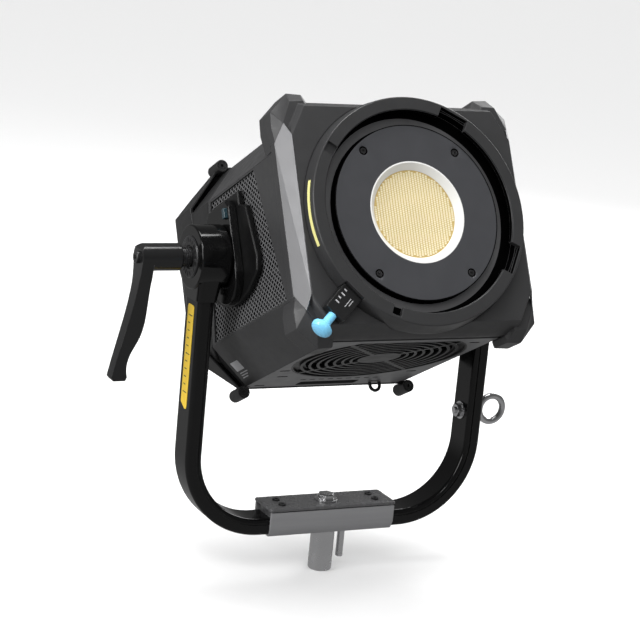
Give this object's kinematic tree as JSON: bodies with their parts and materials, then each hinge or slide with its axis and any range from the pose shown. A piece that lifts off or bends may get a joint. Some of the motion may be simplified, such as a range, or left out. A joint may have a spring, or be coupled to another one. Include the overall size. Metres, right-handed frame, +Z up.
{
  "type": "led spotlight head",
  "caption": "Tilting LED spotlight head with a bayonet lens ring, hung by quick-release dovetails in a bent-tube yoke with a clamp lever, stand pin and safety eye.",
  "frame": {"origin": "on the stand pin's axis at the underside of the yoke's bracket", "axes": "+Z up along the stand pin; the lamp shines towards -Y; the tilt axis is along X"},
  "size_m": [0.5261, 0.4014, 0.586],
  "materials": {
    "yoke_black": "satin black powder coat on aluminium",
    "steel": "zinc-plated steel, satin",
    "black_steel": "black oxide steel",
    "bronze": "sintered bronze",
    "head_black": "satin dark grey powder coat on aluminium",
    "trim_grey": "brushed dark anodised plate",
    "ring_black": "satin black anodised",
    "mesh_black": "black perforated sheet",
    "plastic_black": "black moulded plastic",
    "rubber_black": "black rubber",
    "blue": "sky blue moulded plastic",
    "latch_blue": "dark teal moulded plastic",
    "label_yellow": "printed yellow film",
    "white": "white reflector plastic",
    "phosphor": "yellow phosphor over an array of dies",
    "board": "green circuit board",
    "fin_metal": "bare aluminium",
    "copper": "copper"
  },
  "bodies": {
    "yoke": {"yoke_tube": "yoke_black", "bracket_channel": "yoke_black", "bracket_top_plate": "yoke_black", "bracket_screws": "black_steel", "stand_bolt": "steel", "stand_pin": "steel", "index_pin": "steel", "hub_left": "yoke_black", "hub_right": "yoke_black", "hub_bush_left": "bronze", "hub_bush_right": "bronze", "tilt_scale": "black_steel", "leg_label": "label_yellow", "eye_bolt": "steel", "eye_bolt_nut": "steel"},
    "cradle": {"tilt_shaft_left": "steel", "tilt_shaft_right": "steel", "cradle_shoe_left": "yoke_black", "cradle_shoe_right": "yoke_black", "friction_disc_left": "rubber_black", "friction_disc_right": "rubber_black"},
    "head": {"front_bezel": "head_black", "bezel_trims": "trim_grey", "mount_ring": "ring_black", "ring_mark": "label_yellow", "lock_block": "plastic_black", "led_plate": "ring_black", "led_plate_screws": "black_steel", "reflector_ring": "white", "led_phosphor": "phosphor", "led_board": "board", "heat_spreader": "fin_metal", "heat_pipes": "copper", "heat_fins": "fin_metal", "top_cover": "head_black", "bottom_cover": "head_black", "side_panel_left": "head_black", "side_panel_right": "head_black", "side_mesh_left": "mesh_black", "side_mesh_right": "mesh_black", "dovetail_left": "plastic_black", "dovetail_right": "plastic_black", "fan_grille": "mesh_black", "fan_frame": "plastic_black", "rear_gasket": "rubber_black", "rear_housing": "head_black", "rear_screws": "black_steel", "driver_board": "board", "power_inlet": "plastic_black", "safety_loop": "black_steel"},
    "lever": {"clamp_lever": "yoke_black", "lever_screw": "black_steel", "lever_collar": "black_steel"},
    "lock": {"lock_pin": "steel", "lock_knob": "blue"},
    "fan": {"fan_rotor": "plastic_black"},
    "latch_left": {"latch_button_left": "latch_blue"},
    "latch_right": {"latch_button_right": "latch_blue"}
  },
  "joints": [
    {"name": "head_tilt", "type": "hinge", "parent": "yoke", "child": "cradle", "pos_m": [0, 0, 0.334], "axis": [1, 0, 0], "range_deg": [-62, 118]},
    {"name": "head_lift", "type": "slide", "parent": "cradle", "child": "head", "axis": [0, 0.4664, 0.8846], "range_m": [0, 0.1]},
    {"name": "lever_turn", "type": "hinge", "parent": "yoke", "child": "lever", "pos_m": [-0.25, 0, 0.334], "axis": [1, 0, 0], "range_deg": [-35, 60]},
    {"name": "lock_pin_pull", "type": "slide", "parent": "head", "child": "lock", "axis": [-0.7242, -0.3216, -0.61], "range_m": [0, 0.008], "stiffness_N_per_m": 500, "springref_m": -0.01},
    {"name": "latch_left_press", "type": "slide", "parent": "cradle", "child": "latch_left", "axis": [1, 0, 0], "range_m": [0, 0.003], "stiffness_N_per_m": 800, "springref_m": -0.003},
    {"name": "latch_right_press", "type": "slide", "parent": "cradle", "child": "latch_right", "axis": [-1, 0, 0], "range_m": [0, 0.003], "stiffness_N_per_m": 800, "springref_m": -0.003},
    {"name": "fan_spin", "type": "hinge", "parent": "head", "child": "fan", "pos_m": [0, -0.0858, 0.25488], "axis": [0, 0.4664, 0.8846], "continuous": true}
  ]
}
